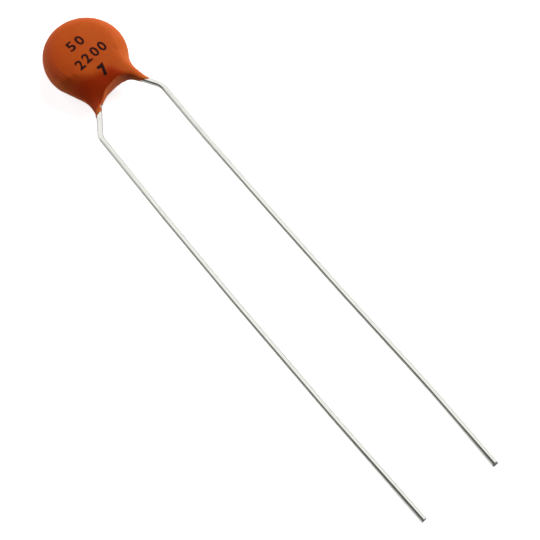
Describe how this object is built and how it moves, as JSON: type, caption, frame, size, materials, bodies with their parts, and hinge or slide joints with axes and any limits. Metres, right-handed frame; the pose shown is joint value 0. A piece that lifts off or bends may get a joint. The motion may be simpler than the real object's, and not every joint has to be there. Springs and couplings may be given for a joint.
{
  "type": "ceramic disc capacitor",
  "caption": "Round flat resin-dipped ceramic capacitor with long tinned wire leads that splay out of tapered coating horns and bend parallel.",
  "frame": {"origin": "middle of the coated disc's flat back face, on which the part lies", "axes": "+Z out of the printed front face, -Y along the leads towards their tips, +X to the right lead"},
  "size_m": [0.01, 0.0642, 0.0034],
  "materials": {
    "coating": "satin dipped resin, orange brown",
    "ceramic": "fired, unglazed, tan",
    "silver": "fired silver, matte",
    "solder": "tin solder, smooth",
    "tinned_wire": "bright tin plate"
  },
  "bodies": {
    "root": {"coating": "coating", "ceramic_disc": "ceramic", "front_electrode": "silver", "back_electrode": "silver", "front_solder": "solder", "back_solder": "solder", "left_lead": "tinned_wire", "right_lead": "tinned_wire"}
  },
  "joints": []
}
